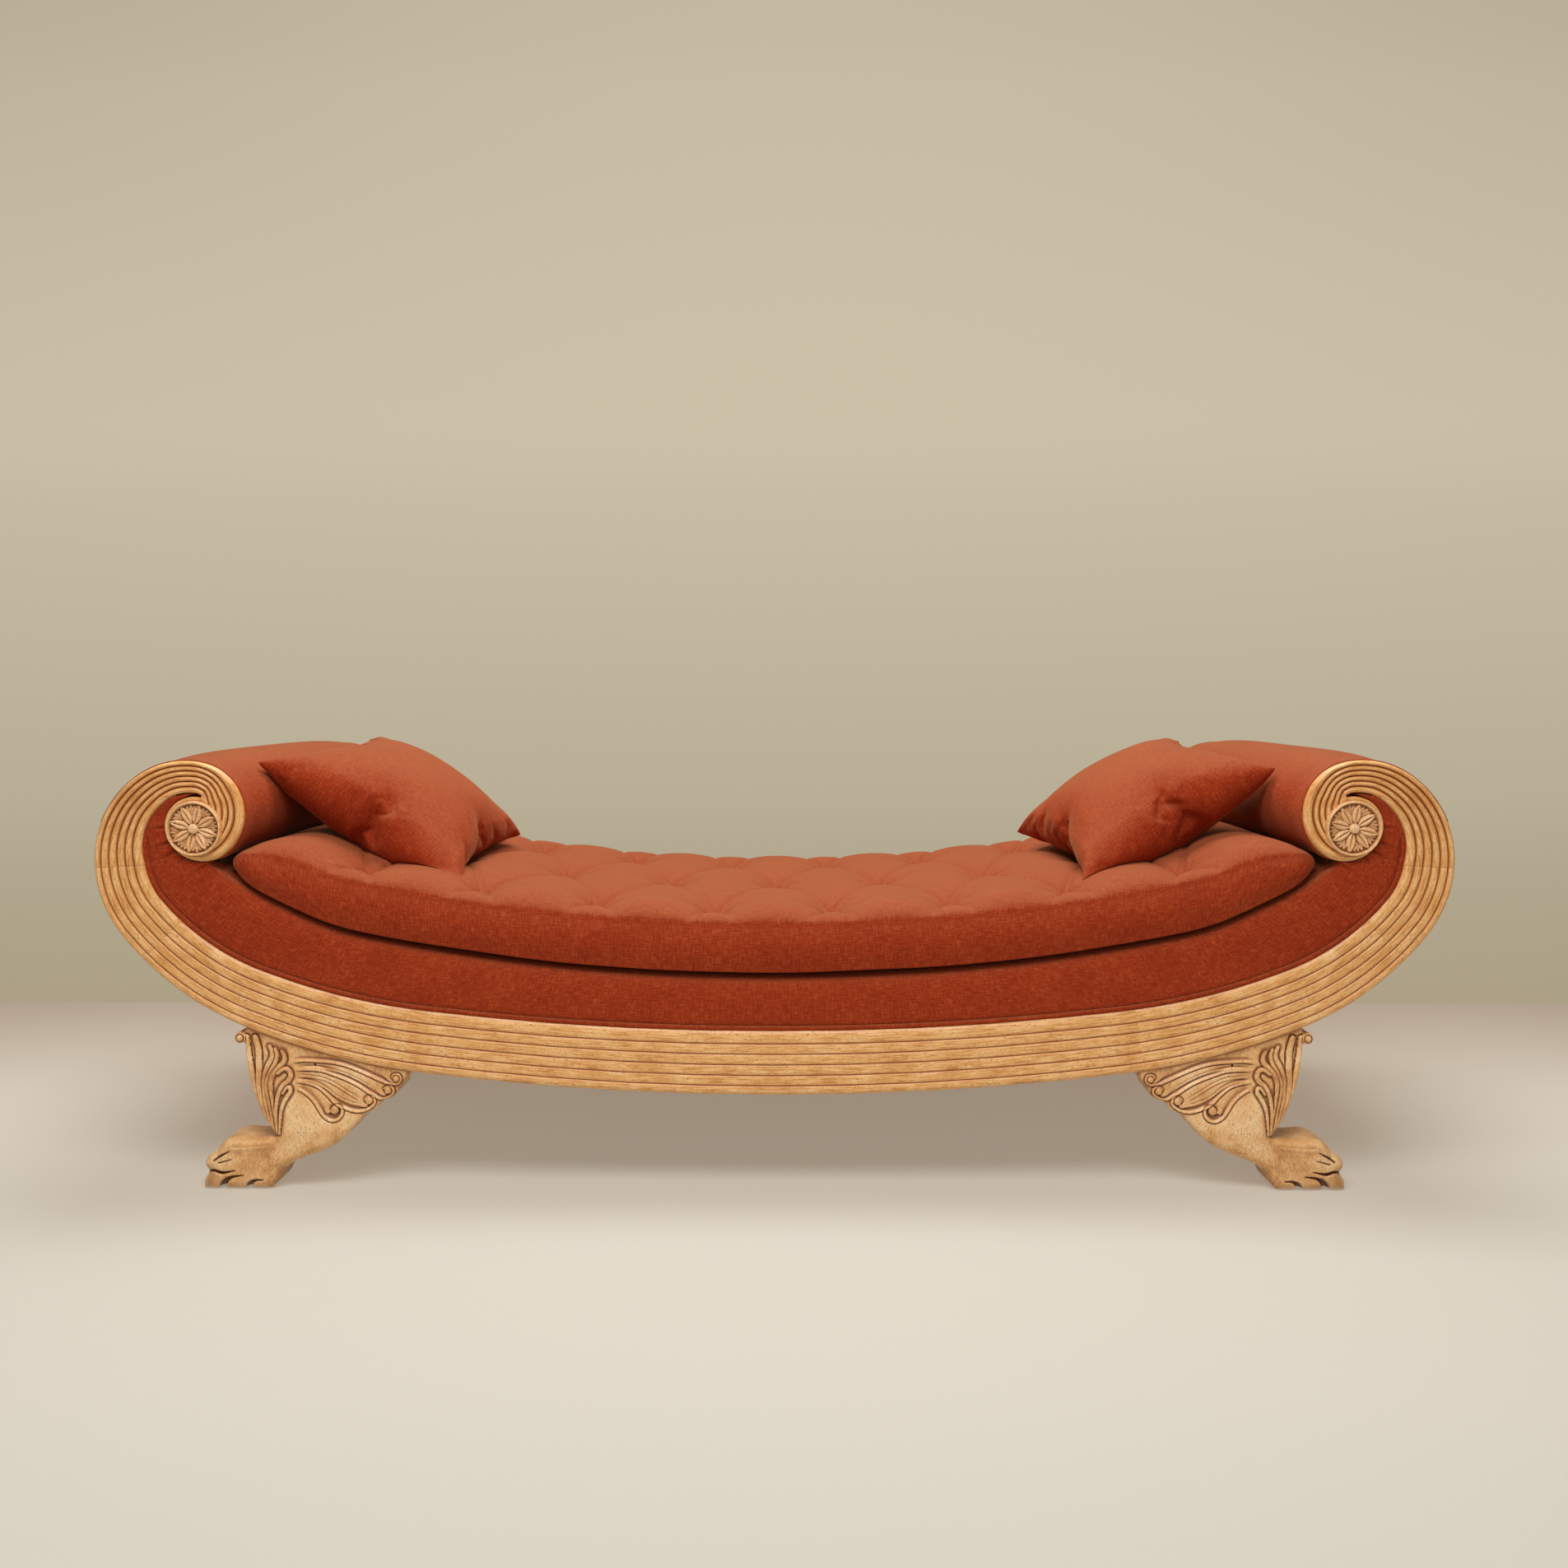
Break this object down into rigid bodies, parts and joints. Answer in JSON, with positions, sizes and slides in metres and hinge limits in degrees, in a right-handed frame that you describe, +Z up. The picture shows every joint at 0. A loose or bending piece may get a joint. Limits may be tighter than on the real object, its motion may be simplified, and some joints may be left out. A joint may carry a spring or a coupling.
{
  "type": "recamier",
  "caption": "Scroll-ended daybed on carved paw legs, with reeded rails that sweep into volutes with rosettes, padded border and rolls, a loose tufted mattress and loose pillows",
  "frame": {"origin": "on the floor under the middle of the frame", "axes": "+X along the length, +Y from front to back, +Z up; the front faces -Y"},
  "size_m": [2.2506, 0.815, 0.7504],
  "materials": {
    "frame_wood": "light waxed wood with a dark patina in the grooves",
    "inner_wood": "plain sawn hardwood and plywood",
    "steel": "zinc-plated",
    "brass": "plain",
    "linen": "rust-coloured woven linen",
    "foam": "open-cell foam and felt",
    "dust_cloth": "thin black underside cloth"
  },
  "bodies": {
    "frame": {"front_rail": "frame_wood", "front_sweep_left": "frame_wood", "front_sweep_right": "frame_wood", "front_shoulder_left": "frame_wood", "front_shoulder_right": "frame_wood", "front_volute_left": "frame_wood", "front_volute_right": "frame_wood", "rear_rail": "frame_wood", "rear_sweep_left": "frame_wood", "rear_sweep_right": "frame_wood", "rear_shoulder_left": "frame_wood", "rear_shoulder_right": "frame_wood", "rear_volute_left": "frame_wood", "rear_volute_right": "frame_wood", "rail_dowels": "inner_wood", "front_rosette_left": "frame_wood", "front_rosette_right": "frame_wood", "rear_rosette_left": "frame_wood", "rear_rosette_right": "frame_wood", "front_leg_left": "frame_wood", "front_leg_right": "frame_wood", "rear_leg_left": "frame_wood", "rear_leg_right": "frame_wood", "leg_bolts": "steel", "leg_washers": "steel", "leg_inserts": "brass", "cross_rail_left": "inner_wood", "cross_rail_middle": "inner_wood", "cross_rail_right": "inner_wood", "end_stretcher_left": "inner_wood", "end_stretcher_right": "inner_wood", "shoulder_stretcher_left": "inner_wood", "shoulder_stretcher_right": "inner_wood", "roll_core_left": "inner_wood", "roll_core_right": "inner_wood", "front_border_board": "inner_wood", "rear_border_board": "inner_wood", "front_ledger": "inner_wood", "rear_ledger": "inner_wood", "deck_slats": "inner_wood", "deck_screws": "steel", "deck_foam": "foam", "deck_cover": "linen", "front_border_pad": "foam", "rear_border_pad": "foam", "front_border_cover": "linen", "rear_border_cover": "linen", "front_piping": "linen", "rear_piping": "linen", "outside_board_left": "inner_wood", "outside_board_right": "inner_wood", "roll_pad_left": "foam", "roll_pad_right": "foam", "outside_cover_left": "linen", "outside_cover_right": "linen", "dust_cover": "dust_cloth"},
    "mattress": {"mattress": "linen", "mattress_filling": "foam"},
    "pillow_left": {"pillow_left": "linen"},
    "pillow_right": {"pillow_right": "linen"}
  },
  "joints": [
    {"name": "mattress_slide", "type": "slide", "parent": "frame", "child": "mattress", "axis": [0, -1, 0], "range_m": [0, 0.8]},
    {"name": "pillow_left_lift", "type": "slide", "parent": "mattress", "child": "pillow_left", "axis": [0, 0, 1], "range_m": [0, 0.4]},
    {"name": "pillow_right_lift", "type": "slide", "parent": "mattress", "child": "pillow_right", "axis": [0, 0, 1], "range_m": [0, 0.4]}
  ]
}
